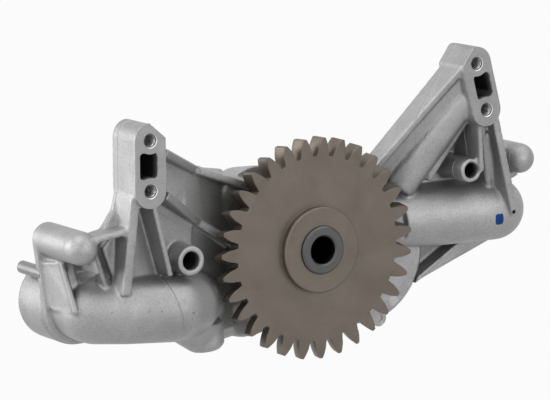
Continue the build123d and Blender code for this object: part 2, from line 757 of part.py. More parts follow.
def main():
    os.makedirs("parts", exist_ok=True)
    save(pump_housing(), "pump_housing")
    save(front_cover(), "front_cover")
    save(cover_bolts(), "cover_bolts")
    save(cover_dowels(), "cover_dowels")
    save(drive_gear(), "drive_gear")
    save(drive_shaft(), "drive_shaft")
    save(thrust_washer(), "thrust_washer")
    save(key_block(), "rotor_key")
    save(drive_rotor(), "drive_rotor")
    save(driven_rotor(), "driven_rotor")
    save(driven_shaft(), "driven_shaft")
    save(bush(0, 0, journal_r, cover_front_y, cover_thick), "drive_front_bush")
    save(bush(0, 0, journal_r, chamber_back_y, body_back_y - plug_thick - chamber_back_y),
         "drive_rear_bush")
    save(bush(driven_x, driven_z, driven_shaft_r, cover_front_y + 2, cover_thick - 2),
         "driven_front_bush")
    save(bush(driven_x, driven_z, driven_shaft_r, chamber_back_y,
              body_back_y - plug_thick - chamber_back_y), "driven_rear_bush")
    save(rear_bore_plugs(), "rear_bore_plugs")
    save(relief_plunger(), "relief_plunger")
    save(relief_spring(), "relief_spring")
    save(relief_plug(), "relief_plug")
    save(locating_pin(), "locating_pin")
    save(ring(collar_x, collar_z, suction_seal_y, seal_section, suction_bore_r + seal_room,
              suction_bore_r + seal_section), "suction_seal")
    save(ring(outlet_x, outlet_z, outlet_back_y - seal_section, seal_section, outlet_seal_r,
              outlet_seal_r + seal_section), "delivery_seal")


main()
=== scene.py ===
import json
import math

import bmesh
import bpy
import numpy as np
from mathutils import Matrix, Vector
from mathutils.bvhtree import BVHTree


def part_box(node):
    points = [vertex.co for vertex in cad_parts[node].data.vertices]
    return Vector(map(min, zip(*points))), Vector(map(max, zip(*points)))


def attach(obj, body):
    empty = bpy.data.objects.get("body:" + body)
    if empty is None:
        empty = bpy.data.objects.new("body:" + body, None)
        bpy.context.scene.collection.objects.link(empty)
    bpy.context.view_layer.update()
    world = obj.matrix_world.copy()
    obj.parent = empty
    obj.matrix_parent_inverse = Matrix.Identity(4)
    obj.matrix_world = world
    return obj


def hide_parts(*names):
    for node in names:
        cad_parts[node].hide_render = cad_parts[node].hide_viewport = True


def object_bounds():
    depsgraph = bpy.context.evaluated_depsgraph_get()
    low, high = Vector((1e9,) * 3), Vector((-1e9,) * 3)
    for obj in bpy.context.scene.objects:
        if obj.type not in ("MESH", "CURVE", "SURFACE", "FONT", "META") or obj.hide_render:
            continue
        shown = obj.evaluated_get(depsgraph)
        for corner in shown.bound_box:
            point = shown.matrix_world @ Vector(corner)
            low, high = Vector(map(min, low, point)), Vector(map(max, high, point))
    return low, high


# The looks of the engine oil pump, in metres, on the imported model's own frame. X is to the right,
# Y points back along the drive axis, and Z is up.
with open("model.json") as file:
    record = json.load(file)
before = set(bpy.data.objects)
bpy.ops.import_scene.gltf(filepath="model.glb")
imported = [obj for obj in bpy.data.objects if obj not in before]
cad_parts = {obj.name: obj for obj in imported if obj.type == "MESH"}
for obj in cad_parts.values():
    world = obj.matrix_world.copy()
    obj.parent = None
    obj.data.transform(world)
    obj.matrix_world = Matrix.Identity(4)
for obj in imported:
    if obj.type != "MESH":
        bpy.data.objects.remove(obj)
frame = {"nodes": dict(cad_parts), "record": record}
cad_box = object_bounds()
scene = bpy.context.scene
scene.view_settings.view_transform = "Standard"
nodes = frame["nodes"]
mounts = {mount["name"]: mount for mount in frame["record"]["mounts"]}

MM = 0.001

# The photograph's camera
photo_width_px = 550.0
photo_height_px = 400.0
gear_centre_px = (318.2, 248.9)
metres_per_px = 0.70 * MM
camera_distance = 2.6
camera_azimuth_deg = -32.2
camera_elevation_deg = 9.9
object_roll_deg = 7.43
sensor_width_mm = 36.0
view_end = 20.0
gear_front_y = 22.0 * MM

# The casting's skin, and the thin plates of its cut faces. Nearer than pin_near to a cut face or
# bore the skin keeps its place, and past pin_far it is smoothed in full.
weld_distance = 1e-7
voxel = 0.8 * MM
smooth_passes = 9
smooth_step = 0.6
pin_near = 0.6 * MM
pin_far = 2.6 * MM
plate_inset = 0.15 * MM
plate_thick = 0.5 * MM
plate_flat_normal_y = 0.99
milling_stretch = (90, 60, 2500)
skin_sink = 0.22 * MM
sink_reach = 0.7 * MM
plane_normal_y = 0.999
bore_normal_y = 0.05
on_plane_within = 0.02 * MM
in_bore_within = 0.02

# What the foundry's mould adds to the plain CAD form, in millimetres: webs as corners of a thin
# wall, rims and fillets as round bars from point to point, and a thicker rim round the delivery
# flange, where its wall beside the seal groove is thinner than the skin's voxels
web_fills = (
    ((-146, 43, 40), (-169, 43, 36), (-173, 43, 21), (-146, 43, 9)),
    ((-90, 36, 77), (-97, 33, 43), (-82, 48, 20), (-50, 54.5, 20), (-50, 54.5, 64)),
    ((-86, 46.5, -6), (-86, 46.5, -46), (-56, 53, -50), (-56, 53, -4)),
    ((-194.2, 64, 28), (-189.9, 44, 30), (-190.3, 31.5, -2.5), (-194, 61, -5)),
)
web_fill_thick = 5.0
valve_rim = ((-194, 63, 27.5), (-189.4, 44, 29.5), (-189.8, 32, -3), (-193.6, 60, -5))
valve_rim_r = (0.9, 2.3, 0.8)
flange_axis = (158.0, -7.0)
flange_rim_r = (22.45, 23.8)
flange_rim_y = (80.4, 83.6)
flange_rim_step_deg = 8
flange_rim_from_deg = (*range(58, 122, flange_rim_step_deg), *range(238, 302, flange_rim_step_deg))
right_rib_fillet = ((148.4, 14, 53), (150.4, 26, 10))
right_rib_fillet_r = 2.2
elbow_link = ((-82, 56, -47), (-58, 64, -49))
elbow_link_r = 9.0
bulge_top = (-98.0, 42.0, -36.0)
bulge_top_half = (24.0, 17.0)
bulge_foot = (-88.0, 44.0, -55.5)
bulge_foot_r = 10.0

# The casting's marks: painted shade deep in bores and windows, as X, Z, radius and the depth where
# it begins, in millimetres, and then the seams, an ejector print, painted shade in a rib's hole and a
# paint dab
wells = (
    (-107.0, 17.0, 6.5, 13.0),
    (128.0, 30.5, 5.6, 13.0),
    (-136.0, 91.5, 9.6, 1.5),
    (136.0, 91.5, 9.6, 1.5),
)
well_fade = 6.0
parting_y = 24.0 * MM
seam_x = -125.7 * MM
seam_lean = 0.144
ring_mark_place = (-0.0816, 0.0354, 0.0705)
ring_mark_r = 3.2 * MM
# Where a dark spot of painted shade stands in for a small hole in a rib
rib_hole_place = (0.1584, 0.0088, -0.0063)
rib_hole_r = 1.3 * MM
mark_place = (0.1495, 0.0140, -0.0106)
mark_radii = (3.0 * MM, 8.0 * MM, 4.1 * MM)

# The feet, and the threads in their holes
foot_lean_deg = 7.1
thread_pitch = 1.75 * MM
thread_depth = 0.75 * MM
thread_length = 24.0 * MM
thread_mouth = 0.55 * MM
thread_around = 40
thread_rows_per_turn = 8

# The drive shaft's bore, and how deep its mouth stays unshaded before the painted shade inside
shaft_bore_r = 10.0 * MM
shaft_unshaded_depth = 1.5 * MM

# Edges: how wide they are broken, from what angle, and from what angle an edge stays crisp
cover_edge = 1.6 * MM
gear_edge = 0.35 * MM
bevel_segments = 2
dissolve_deg = 1.0
bevel_from_deg = 28.0
crisp_edge_deg = 32.0
crisp_plate_deg = 30.0
crisp_thread_deg = 25.0
flat_end_normal_y = 0.9999

# How metallic each kind is, and base colours, linear: grey values, or red, green, blue and alpha
aluminium_metallic = 0.85
gear_metallic = 0.80
steel_metallic = 0.90
casting_light = 0.36
casting_dark = 0.30
cover_light = 0.35
grain_dark = 0.14
grain_light = 0.46
pit_grey = 0.07
worn_grey = 0.56
# Painted shade in the casting's creases
crevice_shade_grey = 0.06
milled_dark = 0.26
milled_light = 0.31
milled_line = 0.21
# Painted highlight on the thread crests, and painted shade in their grooves
thread_crest_highlight = 0.72
thread_groove_shade = 0.03
thread_wear = 0.20
rubber_dark = 0.012
rubber_light = 0.028
# Painted shade deep in the foot windows and the bosses' bores
well_shade_grey = 0.02
# Painted shade in the rib's hole
rib_hole_shade_grey = 0.01
# Painted shade deep in the drive shaft's bore
bore_shade_grey = 0.012
gear_dark = (0.135, 0.114, 0.094, 1)
gear_light = (0.173, 0.149, 0.125, 1)
gear_speck = (0.066, 0.056, 0.046, 1)
paint_blue = (0.008, 0.045, 0.18, 1)

# Floor, world and lamps
floor_half = 6.0
floor_gap = 0.2 * MM
floor_grey = 0.16
floor_white = 0.96
world_strength = 0.46
world_dimmed = 0.08
world_dim_towards = (-0.05, 0.80, 0.60)
world_dim_cosines = (0.45, 0.95)
lamp_aim = (0, 0.03, 0.01)
# Name, place along the camera's right, up and ahead, distance, size, watts
lamps = (
    ("backdrop_left", (-1.00, 0.12, 0.02), 1.5, 1.1, 14),
    ("top", (0.50, 0.83, -0.15), 1.5, 1.2, 6),
    ("top_left", (-0.35, 0.85, -0.45), 1.6, 1.0, 8),
    ("front_right", (0.60, 0.05, -0.80), 2.0, 1.4, 14),
    ("left_front", (-0.70, 0.10, -0.70), 1.6, 1.0, 4),
)


def centre_of(name):
    """The middle of a node's box."""
    low, high = (Vector(v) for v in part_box(name))
    return (low + high) / 2


def mount_place(name):
    return Vector(mounts[name]["pos_m"])


def mount_size(name, key):
    return mounts[name]["dims"][key] * MM


def port_bore(name):
    """A port's bore as X, Z, radius and its two ends in Y."""
    place = mount_place(name)
    half = mount_size(name, "length_mm") / 2
    return place.x, place.z, mount_size(name, "r_mm"), place.y - half, place.y + half


# Camera

def place_camera():
    """The camera at the photograph's angle, its roll taken up by turning about the drive axis."""
    az = math.radians(camera_azimuth_deg)
    el = math.radians(camera_elevation_deg)
    right = Vector((math.cos(az), math.sin(az), 0))
    up = Vector((-math.sin(az) * math.sin(el), math.cos(az) * math.sin(el), math.cos(el)))
    ahead = Vector((-math.sin(az) * math.cos(el), math.cos(az) * math.cos(el), -math.sin(el)))
    focal_px = camera_distance / metres_per_px
    shift_x = (gear_centre_px[0] - photo_width_px / 2) / focal_px
    shift_y = (photo_height_px / 2 - gear_centre_px[1]) / focal_px
    gear = Vector((0, gear_front_y, 0))
    place = gear - camera_distance * ahead
    look = (ahead - shift_x * right - shift_y * up).normalized()
    side = (right - right.dot(look) * look).normalized()
    top = side.cross(look)
    unroll = Matrix.Rotation(math.radians(object_roll_deg), 3, "Y")
    side, top, look = (unroll @ v for v in (side, top, look))
    place = unroll @ (place - gear) + gear
    data = bpy.data.cameras.new("photo_camera")
    data.sensor_fit = "HORIZONTAL"
    data.sensor_width = sensor_width_mm
    data.lens = sensor_width_mm * focal_px / photo_width_px
    data.clip_end = view_end
    camera = bpy.data.objects.new("photo_camera", data)
    turn = Matrix((side, top, -look)).transposed()
    camera.matrix_world = Matrix.Translation(place) @ turn.to_4x4()
    scene.collection.objects.link(camera)
    scene.camera = camera
    return side, top, look


# Materials

class Shader:
    """A short way to write a material's nodes."""

    def __init__(self, name):
        self.material = bpy.data.materials.new(name)
        self.material.use_nodes = True
        self.tree = self.material.node_tree
        self.bsdf = self.tree.nodes["Principled BSDF"]
        self.place = self.node("ShaderNodeTexCoord").outputs["Object"]

    def node(self, kind, **settings):
        made = self.tree.nodes.new(kind)
        for key, value in settings.items():
            setattr(made, key, value)
        return made

    def put(self, socket, value):
        if isinstance(value, bpy.types.NodeSocket):
            self.tree.links.new(value, socket)
        else:
            socket.default_value = value

    def noise(self, scale, detail=3.0, rough=0.5, stretch=None, distortion=0.0):
        made = self.node("ShaderNodeTexNoise")
        made.inputs["Scale"].default_value = scale
        made.inputs["Detail"].default_value = detail
        made.inputs["Roughness"].default_value = rough
        made.inputs["Distortion"].default_value = distortion
        self.put(made.inputs["Vector"], self.stretched(stretch) if stretch else self.place)
        return made.outputs["Fac"]

    def stretched(self, scale):
        made = self.node("ShaderNodeMapping")
        made.inputs["Scale"].default_value = scale
        self.put(made.inputs["Vector"], self.place)
        return made.outputs["Vector"]

    def ramp(self, value, low, high, out_low=0.0, out_high=1.0):
        """Takes low to high over to out_low to out_high, and stays there beyond them."""
        made = self.node("ShaderNodeMapRange")
        made.inputs["From Min"].default_value = low
        made.inputs["From Max"].default_value = high
        made.inputs["To Min"].default_value = out_low
        made.inputs["To Max"].default_value = out_high
        self.put(made.inputs["Value"], value)
        return made.outputs["Result"]

    def maths(self, operation, a, b=0.0):
        made = self.node("ShaderNodeMath", operation=operation)
        self.put(made.inputs[0], a)
        self.put(made.inputs[1], b)
        return made.outputs["Value"]

    def mix(self, amount, a, b):
        made = self.node("ShaderNodeMix", data_type="RGBA")
        self.put(made.inputs["Factor"], amount)
        self.put(made.inputs["A"], a)
        self.put(made.inputs["B"], b)
        return made.outputs["Result"]

    def bump(self, height, distance, strength=1.0, over=None):
        made = self.node("ShaderNodeBump")
        made.inputs["Strength"].default_value = strength
        made.inputs["Distance"].default_value = distance
        self.put(made.inputs["Height"], height)
        if over is not None:
            self.put(made.inputs["Normal"], over)
        return made.outputs["Normal"]

    def axis(self, name):
        made = self.node("ShaderNodeSeparateXYZ")
        self.put(made.inputs["Vector"], self.place)
        return made.outputs[name]

    def from_axis(self, x, z):
        """How far a point is from an axis parallel to the drive axis."""
        made = self.node("ShaderNodeVectorMath", operation="LENGTH")
        flat = self.node("ShaderNodeMapping")
        flat.inputs["Location"].default_value = (-x, 0, -z)
        flat.inputs["Scale"].default_value = (1, 0, 1)
        self.put(flat.inputs["Vector"], self.place)
        self.put(made.inputs[0], flat.outputs["Vector"])
        return made.outputs["Value"]

    def from_point(self, place):
        """How far a point is from a place."""
        made = self.node("ShaderNodeVectorMath", operation="DISTANCE")
        self.put(made.inputs[0], self.place)
        made.inputs[1].default_value = place
        return made.outputs["Value"]


def grey(value, warm=0.0):
    return (value + warm, value + warm * 0.3, value - warm, 1.0)


def cast_aluminium(name, light, dark, marked=False):
    """Matt sand-cast skin: grain, soft blotches, a few small pits, brighter worn edges, painted shade
    in creases.
    """
    s = Shader(name)
    grain = s.noise(900, 4.0, 0.7)
    lumps = s.noise(260, 4.0, 0.6)
    blotch = s.noise(38, 4.0, 0.6)
    colour = s.mix(s.ramp(blotch, 0.35, 0.65), dark, light)
    colour = s.mix(s.ramp(grain, 0.52, 0.72, 0.0, 0.40), colour, grey(grain_dark))
    colour = s.mix(s.ramp(grain, 0.46, 0.30, 0.0, 0.35), colour, grey(grain_light))
    pits = s.noise(430, 1.0, 0.4)
    colour = s.mix(s.ramp(pits, 0.76, 0.80, 0.0, 0.6), colour, grey(pit_grey))
    point = s.node("ShaderNodeNewGeometry").outputs["Pointiness"]
    colour = s.mix(s.ramp(point, 0.52, 0.60, 0.0, 0.45), colour, grey(worn_grey))
    # Painted shade in the creases, where the pointiness is low
    colour = s.mix(s.ramp(point, 0.49, 0.42, 0.0, 0.55), colour, grey(crevice_shade_grey))
    if marked:
        colour = shaded_wells(s, colour)
        colour = paint_mark(s, colour)
        # A dark spot of painted shade standing in for a small hole in a rib
        hole = s.ramp(s.from_point(rib_hole_place), rib_hole_r, rib_hole_r * 1.3, 1.0, 0.0)
        colour = s.mix(hole, colour, grey(rib_hole_shade_grey))
    s.put(s.bsdf.inputs["Base Color"], colour)
    s.bsdf.inputs["Metallic"].default_value = aluminium_metallic
    s.put(s.bsdf.inputs["Roughness"], s.ramp(grain, 0.3, 0.7, 0.46, 0.60))
    height = s.maths("ADD", lumps, parting_line(s))
    if marked:
        height = s.maths("ADD", height, elbow_seam(s))
        height = s.maths("SUBTRACT", height, ring_mark(s))
    rough = s.bump(height, 0.30 * MM, 0.7)
    s.put(s.bsdf.inputs["Normal"], s.bump(grain, 0.16 * MM, 0.6, over=rough))
    return s.material


def shaded_wells(s, colour):
    """Painted shade deep inside the foot windows and the bores of the plain bosses."""
    for x, z, r, y in wells:
        inside = s.ramp(s.from_axis(x * MM, z * MM), r * 1.03 * MM, r * 1.10 * MM, 1.0, 0.0)
        deep = s.ramp(s.axis("Y"), y * MM, (y + well_fade) * MM, 0.0, 0.85)
        # Painted shade, darker deeper inside each well
        colour = s.mix(s.maths("MULTIPLY", inside, deep), colour, grey(well_shade_grey))
    return colour


def parting_line(s):
    """The low ridge left where the two halves of the mould met."""
    away = s.maths("ABSOLUTE", s.maths("SUBTRACT", s.axis("Y"), parting_y))
    facing = s.node("ShaderNodeSeparateXYZ")
    s.put(facing.inputs["Vector"], s.node("ShaderNodeTexCoord").outputs["Normal"])
    sideways = s.ramp(s.maths("ABSOLUTE", facing.outputs["Y"]), 0.25, 0.5, 1.0, 0.0)
    return s.maths("MULTIPLY", s.ramp(away, 0.2 * MM, 0.7 * MM, 2.4, 0.0), sideways)


def elbow_seam(s):
    """The fine upright seam across the front of the suction elbow."""
    across = s.maths("ADD", s.axis("X"), s.maths("MULTIPLY", s.axis("Z"), seam_lean))
    away = s.maths("ABSOLUTE", s.maths("SUBTRACT", across, seam_x))
    low = s.ramp(s.axis("Z"), 8 * MM, 12 * MM, 1.0, 0.0)
    return s.maths("MULTIPLY", s.ramp(away, 0.3 * MM, 0.9 * MM, 2.0, 0.0), low)


def ring_mark(s):
    """The round print of an ejector pin in the left web."""
    away = s.maths("ABSOLUTE", s.maths("SUBTRACT", s.from_point(ring_mark_place), ring_mark_r))
    return s.ramp(away, 0.2 * MM, 0.8 * MM, 3.0, 0.0)


def paint_mark(s, colour):
    """A dab of blue inspection paint on the front of the delivery duct."""
    made = s.node("ShaderNodeMapping")
    made.inputs["Location"].default_value = tuple(-c / r for c, r in zip(mark_place, mark_radii))
    made.inputs["Scale"].default_value = tuple(1 / r for r in mark_radii)
    s.put(made.inputs["Vector"], s.place)
    parts = s.node("ShaderNodeSeparateXYZ")
    s.put(parts.inputs["Vector"], made.outputs["Vector"])
    powers = [s.maths("POWER", s.maths("ABSOLUTE", parts.outputs[axis]), 4.0) for axis in "XYZ"]
    square = s.maths("ADD", s.maths("ADD", powers[0], powers[1]), powers[2])
    edge = s.maths("ADD", square, s.ramp(s.noise(500, 2.0), 0.3, 0.7, -0.15, 0.15))
    return s.mix(s.ramp(edge, 0.85, 1.1, 1.0, 0.0), colour, paint_blue)


def machined_aluminium(name, stretch):
    """A milled face: fine lines one way, light wear and a satin gloss."""
    s = Shader(name)
    lines = s.noise(1.0, 2.0, 0.5, stretch=stretch)
    blotch = s.noise(90, 4.0, 0.6)
    colour = s.mix(s.ramp(blotch, 0.3, 0.7), grey(milled_dark), grey(milled_light))
    colour = s.mix(s.ramp(lines, 0.45, 0.7, 0.0, 0.35), colour, grey(milled_line))
    s.put(s.bsdf.inputs["Base Color"], colour)
    s.bsdf.inputs["Metallic"].default_value = aluminium_metallic
    s.put(s.bsdf.inputs["Roughness"], s.ramp(lines, 0.3, 0.7, 0.40, 0.55))
    s.put(s.bsdf.inputs["Normal"], s.bump(lines, 0.05 * MM, 0.4))
    return s.material


def gear_steel(name):
    """Oiled, heat-treated steel, with turning rings on its faces and a brown cast."""
    s = Shader(name)
    radius = s.from_axis(0.0, 0.0)
    rings = s.maths("SINE", s.maths("MULTIPLY", radius, 2 * math.pi / (0.9 * MM)))
    stain = s.noise(38, 5.0, 0.6, distortion=0.6)
    fine = s.noise(1300, 3.0, 0.6)
    colour = s.mix(s.ramp(stain, 0.32, 0.68), gear_dark, gear_light)
    colour = s.mix(s.ramp(fine, 0.55, 0.75, 0.0, 0.3), colour, gear_speck)
    s.put(s.bsdf.inputs["Base Color"], colour)
    s.bsdf.inputs["Metallic"].default_value = gear_metallic
    s.put(s.bsdf.inputs["Roughness"], s.ramp(stain, 0.3, 0.7, 0.42, 0.56))
    turned = s.bump(rings, 0.01 * MM, 0.35)
    s.put(s.bsdf.inputs["Normal"], s.bump(fine, 0.03 * MM, 0.4, over=turned))
    return s.material


def turned_steel(name, axis, shade, rough, warm, bore_shade_from=None):
    """Ground or turned metal, its fine rings round the part's own axis, and painted shade deep in its
    bore.
    """
    s = Shader(name)
    radius = s.from_axis(*axis)
    rings = s.maths("SINE", s.maths("MULTIPLY", radius, 2 * math.pi / (0.5 * MM)))
    fine = s.noise(1800, 3.0, 0.6)
    blotch = s.noise(70, 3.0, 0.6)
    colour = s.mix(s.ramp(blotch, 0.3, 0.7), grey(shade * 0.88, warm), grey(shade, warm))
    colour = s.mix(s.ramp(fine, 0.58, 0.75, 0.0, 0.25), colour, grey(shade * 0.5, warm))
    if bore_shade_from is not None:
        bore, depth = bore_shade_from
        # Painted shade deep in the bore
        inside = s.ramp(radius, bore * 1.02, bore * 1.06, 1.0, 0.0)
        deep = s.ramp(s.axis("Y"), depth, depth + 5 * MM, 0.0, 1.0)
        colour = s.mix(s.maths("MULTIPLY", inside, deep), colour, grey(bore_shade_grey))
    s.put(s.bsdf.inputs["Base Color"], colour)
    s.bsdf.inputs["Metallic"].default_value = steel_metallic
    s.put(s.bsdf.inputs["Roughness"], s.ramp(fine, 0.3, 0.7, rough - 0.05, rough + 0.08))
    s.put(s.bsdf.inputs["Normal"], s.bump(rings, 0.01 * MM, 0.3))
    return s.material


def cut_thread(name, x, z, radius):
    """A thread in the aluminium, with painted highlights on its crests and mouth and painted shade in
    its grooves.
    """
    s = Shader(name)
    fine = s.noise(1500, 3.0, 0.6)
    # Painted highlight on the crests and the chamfered mouth, painted shade in the grooves
    highlit_crest = s.ramp(s.from_axis(x, z), radius - thread_depth * 0.35, radius - thread_depth * 0.75)
    mouth = s.ramp(s.from_axis(x, z), radius * 1.005, radius * 1.02)
    colour = s.mix(s.maths("MAXIMUM", highlit_crest, mouth), grey(thread_groove_shade), grey(thread_crest_highlight))
    colour = s.mix(s.ramp(fine, 0.5, 0.75, 0.0, 0.4), colour, grey(thread_wear))
    s.put(s.bsdf.inputs["Base Color"], colour)
    s.bsdf.inputs["Metallic"].default_value = steel_metallic
    s.put(s.bsdf.inputs["Roughness"], s.ramp(fine, 0.3, 0.7, 0.25, 0.4))
    s.put(s.bsdf.inputs["Normal"], s.bump(fine, 0.03 * MM, 0.3))
    return s.material


def seal_rubber(name):
    """Matt black rubber with a fine grain."""
    s = Shader(name)
    fine = s.noise(1600, 3.0, 0.6)
    colour = s.mix(s.ramp(fine, 0.3, 0.7), grey(rubber_dark), grey(rubber_light))
    s.put(s.bsdf.inputs["Base Color"], colour)
    s.put(s.bsdf.inputs["Roughness"], s.ramp(fine, 0.3, 0.7, 0.5, 0.7))
    s.put(s.bsdf.inputs["Normal"], s.bump(fine, 0.05 * MM, 0.4))
    return s.material


# Meshes

def add_object(name, mesh, material, body):
    """A piece with its material and the body that it rides on."""
    piece = bpy.data.objects.new(name, mesh)
    scene.collection.objects.link(piece)
    mesh.materials.clear()
    mesh.materials.append(material)
    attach(piece, body)
    return piece


def applied(piece):
    """The piece's mesh with its modifiers worked in."""
    graph = bpy.context.evaluated_depsgraph_get()
    mesh = bpy.data.meshes.new_from_object(piece.evaluated_get(graph))
    piece.modifiers.clear()
    piece.data = mesh
    return mesh


def hull_into(form, points):
    """Adds the closed convex body round some points, in millimetres, to a form."""
    body = bmesh.new()
    for point in points:
        body.verts.new([c * MM for c in point])
    made = bmesh.ops.convex_hull(body, input=body.verts[:])
    spare = made["geom_interior"] + made["geom_unused"]
    loose = {item for item in spare if isinstance(item, bmesh.types.BMVert)}
    bmesh.ops.delete(body, geom=list(loose), context="VERTS")
    bmesh.ops.recalc_face_normals(body, faces=body.faces[:])
    mesh = bpy.data.meshes.new("cast_detail")
    body.to_mesh(mesh)
    body.free()
    form.from_mesh(mesh)
    bpy.data.meshes.remove(mesh)


def ball_points(place, r, around=10):
    """Points on a ball, enough for a rounded end."""
    points = []
    for i in range(around + 1):
        lat = math.pi * (i / around - 0.5)
        for j in range(around):
            lon = 2 * math.pi * j / around
            points.append((place[0] + r * math.cos(lat) * math.cos(lon),
                           place[1] + r * math.cos(lat) * math.sin(lon), place[2] + r * math.sin(lat)))
    return points


def oval_points(place, half_x, half_y, around=24):
    """Points round a level oval."""
    turns = [2 * math.pi * j / around for j in range(around)]
    return [(place[0] + half_x * math.cos(a), place[1] + half_y * math.sin(a), place[2]) for a in turns]


def mould_details(form):
    """The webs, rims and blends that the casting has over its CAD form."""
    for corners in web_fills:
        hull_into(form, [(x, y + depth, z) for x, y, z in corners for depth in (0, web_fill_thick)])
    bars = list(zip(valve_rim, valve_rim[1:], valve_rim_r))
    bars += [(*right_rib_fillet, right_rib_fillet_r), (*elbow_link, elbow_link_r)]
    for a, b, r in bars:
        hull_into(form, ball_points(a, r) + ball_points(b, r))
    for turn in flange_rim_from_deg:
        ends = (math.radians(turn), math.radians(turn + flange_rim_step_deg))
        hull_into(form, [(flange_axis[0] + r * math.cos(a), y, flange_axis[1] + r * math.sin(a))
                         for a in ends for r in flange_rim_r for y in flange_rim_y])
    hull_into(form, oval_points(bulge_top, *bulge_top_half)
              + oval_points(bulge_foot, bulge_foot_r, bulge_foot_r))


def welded_copy(node):
    """A copy of a CAD node's mesh whose faces share their points."""
    mesh = bpy.data.meshes.new(node + "_skin")
    form = bmesh.new()
    form.from_mesh(nodes[node].data)
    bmesh.ops.remove_doubles(form, verts=form.verts, dist=weld_distance)
    form.to_mesh(mesh)
    form.free()
    return mesh


def pin_weights(points):
    """How freely each point of the casting may move: 0 by a machined face or bore, 1 away from it."""
    free = np.full(len(points), pin_far)

    def keep(distance):
        np.minimum(free, distance, out=free)

    def tube(x, z, radius, y0, y1):
        across = np.hypot(points[:, 0] - x, points[:, 2] - z)
        along = np.maximum(np.maximum(y0 - points[:, 1], points[:, 1] - y1), 0)
        keep(np.hypot(np.abs(across - radius), along))

    keep(np.abs(points[:, 1] - cad_low.y))
    keep(np.abs(points[:, 1] - cad_high.y))
    for place in hole_places:
        tube(place.x, place.z, hole_radius, 0, thread_length)
    for bore in machined_bores:
        tube(*bore)
    return np.clip((free - pin_near) / (pin_far - pin_near), 0, 1)


def soften(mesh):
    """Softens the casting's corners, as sand casting does, but not by its machined places."""
    count = len(mesh.vertices)
    points = np.empty(count * 3)
    mesh.vertices.foreach_get("co", points)
    points = points.reshape(count, 3)
    edges = np.empty(len(mesh.edges) * 2, dtype=np.int64)
    mesh.edges.foreach_get("vertices", edges)
    a, b = edges[0::2], edges[1::2]
    share = np.bincount(a, minlength=count) + np.bincount(b, minlength=count)
    weight = pin_weights(points)[:, None] * smooth_step
    for _ in range(smooth_passes):
        total = np.zeros_like(points)
        for axis in range(3):
            total[:, axis] = (np.bincount(a, points[b, axis], count)
                              + np.bincount(b, points[a, axis], count))
        points += weight * (total / share[:, None] - points)
    mesh.vertices.foreach_set("co", points.ravel())
    mesh.update()


def machined_form():
    """The housing's cut faces, from its CAD mesh: foot pads, port faces and port bores."""
    form = bmesh.new()
    form.from_mesh(nodes["pump_housing"].data)
    bmesh.ops.remove_doubles(form, verts=form.verts, dist=weld_distance)
    waste = [face for face in form.faces if not (on_plane(face) or in_bore(face))]
    bmesh.ops.delete(form, geom=waste, context="FACES")
    return form


def on_plane(face):
    """Whether a face lies in one of the machined planes."""
    if abs(face.normal.y) < plane_normal_y:
        return False
    y = face.calc_center_median().y
    return any(abs(y - plane) < on_plane_within for plane in machined_planes)


def in_bore(face):
    """Whether a face is part of a port's bore."""
    place = face.calc_center_median()
    for x, z, radius, y0, y1 in machined_bores:
        across = math.hypot(place.x - x, place.z - z)
        near = abs(across - radius) < in_bore_within * radius and y0 < place.y < y1
        if near and abs(face.normal.y) < bore_normal_y:
            return True
    return False


def sink(mesh, tree):
    """Lets the skin down under the cut faces, which lie over it as pieces of their own."""
    for vertex in mesh.vertices:
        place, normal, _, away = tree.find_nearest(vertex.co, sink_reach)
        if place is not None:
            vertex.co = place - normal * skin_sink
    mesh.update()


def cut_faces(form):
    """Thin closed plates on the housing's cut faces, with a crisp edge."""
    bmesh.ops.dissolve_limit(form, angle_limit=math.radians(dissolve_deg),
                             verts=form.verts, edges=form.edges)
    flat = [face for face in form.faces if abs(face.normal.y) > plate_flat_normal_y]
    rims = bmesh.ops.inset_region(form, faces=flat, thickness=plate_inset, use_boundary=True)["faces"]
    bmesh.ops.delete(form, geom=rims, context="FACES")
    bmesh.ops.solidify(form, geom=form.faces[:], thickness=plate_thick)
    mesh = bpy.data.meshes.new("cut_faces")
    form.to_mesh(mesh)
    look = machined_aluminium("cut_aluminium", milling_stretch)
    add_object("cut_faces", mesh, look, "housing")
    smooth_by_angle(mesh, crisp_plate_deg)


def cast_housing():
    """The housing's CAD form as a sand casting, with rounded corners and fillets."""
    plain = welded_copy("pump_housing")
    form = bmesh.new()
    form.from_mesh(plain)
    mould_details(form)
    form.to_mesh(plain)
    form.free()
    piece = bpy.data.objects.new("housing_casting", plain)
    scene.collection.objects.link(piece)
    remesh = piece.modifiers.new("skin", "REMESH")
    remesh.mode = "VOXEL"
    remesh.voxel_size = voxel
    mesh = applied(piece)
    soften(mesh)
    form = machined_form()
    sink(mesh, BVHTree.FromBMesh(form))
    cut_faces(form)
    form.free()
    mesh.shade_smooth()
    mesh.materials.clear()
    mesh.materials.append(housing_look)
    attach(piece, "housing")
    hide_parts("pump_housing")


def bevelled_copy(node, name, width, material, body):
    """A CAD node with its sharp edges broken."""
    piece = add_object(name, welded_copy(node), material, body)
    bevel = piece.modifiers.new("edge", "BEVEL")
    bevel.width = width
    bevel.segments = bevel_segments
    bevel.limit_method = "ANGLE"
    bevel.angle_limit = math.radians(bevel_from_deg)
    mesh = applied(piece)
    mesh.materials.clear()
    mesh.materials.append(material)
    smooth_by_angle(mesh, crisp_edge_deg)
    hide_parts(node)


def smooth_by_angle(mesh, degrees):
    """Smooth faces, with sharper edges kept crisp and the flat ends across the drive axis flat."""
    form = bmesh.new()
    form.from_mesh(mesh)
    limit = math.radians(degrees)
    for face in form.faces:
        face.smooth = abs(face.normal.y) < flat_end_normal_y
    for edge in form.edges:
        edge.smooth = len(edge.link_faces) == 2 and edge.calc_face_angle() < limit
    form.to_mesh(mesh)
    form.free()


